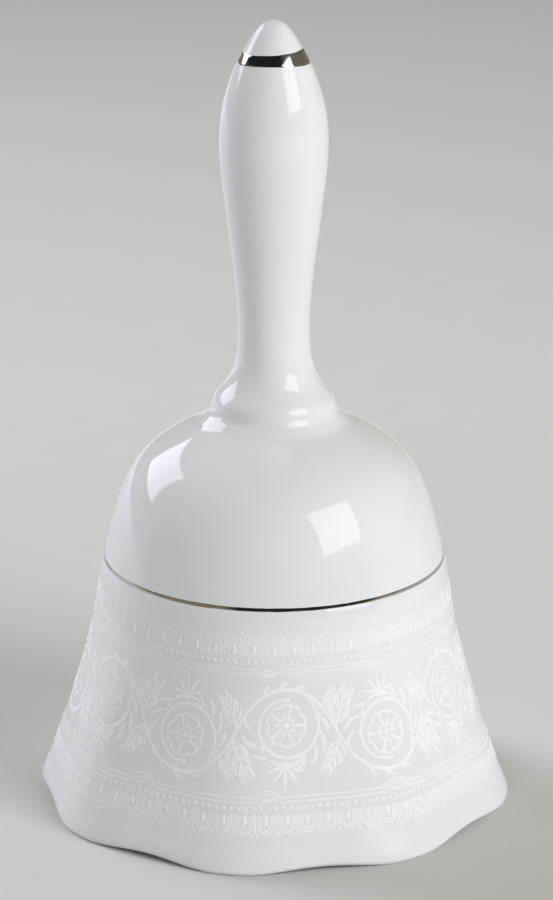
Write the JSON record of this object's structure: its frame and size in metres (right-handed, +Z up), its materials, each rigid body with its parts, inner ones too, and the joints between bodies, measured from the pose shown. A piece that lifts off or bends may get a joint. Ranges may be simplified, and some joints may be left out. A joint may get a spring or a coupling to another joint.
{
  "type": "porcelain table bell",
  "caption": "Hand bell of glazed white porcelain with a scalloped skirt, a spindle handle, fired platinum bands and a porcelain ball clapper hung on wire inside.",
  "frame": {"origin": "on the table, under the middle of the bell", "axes": "+Z up along the bell's axis to the handle's tip; one scallop of the lip is centred on -Y, the front"},
  "size_m": [0.0904, 0.0904, 0.15],
  "materials": {
    "porcelain": "clear gloss glaze over white porcelain, with a ground unglazed foot",
    "platinum": "fired platinum lustre, mirror bright",
    "cement": "matt cast cement",
    "wire": "drawn stainless wire",
    "clapper_porcelain": "gloss glaze",
    "crimp": "satin soft metal"
  },
  "bodies": {
    "root": {"bell_shell": "porcelain", "handle": "porcelain", "tip_band": "platinum", "waist_line": "platinum", "crown_cement": "cement", "hanger_eye": "wire"},
    "link": {"swing_link": "wire"},
    "clapper": {"clapper_wire": "wire", "clapper_ball": "clapper_porcelain", "stop_crimp": "crimp"}
  },
  "joints": [
    {"name": "link_swing", "type": "hinge", "parent": "root", "child": "link", "pos_m": [0, 0, 0.066], "axis": [0, 1, 0], "range_deg": [-24, 24]},
    {"name": "clapper_swing", "type": "hinge", "parent": "link", "child": "clapper", "pos_m": [0, 0, 0.0616], "axis": [1, 0, 0], "range_deg": [-24, 24]}
  ]
}
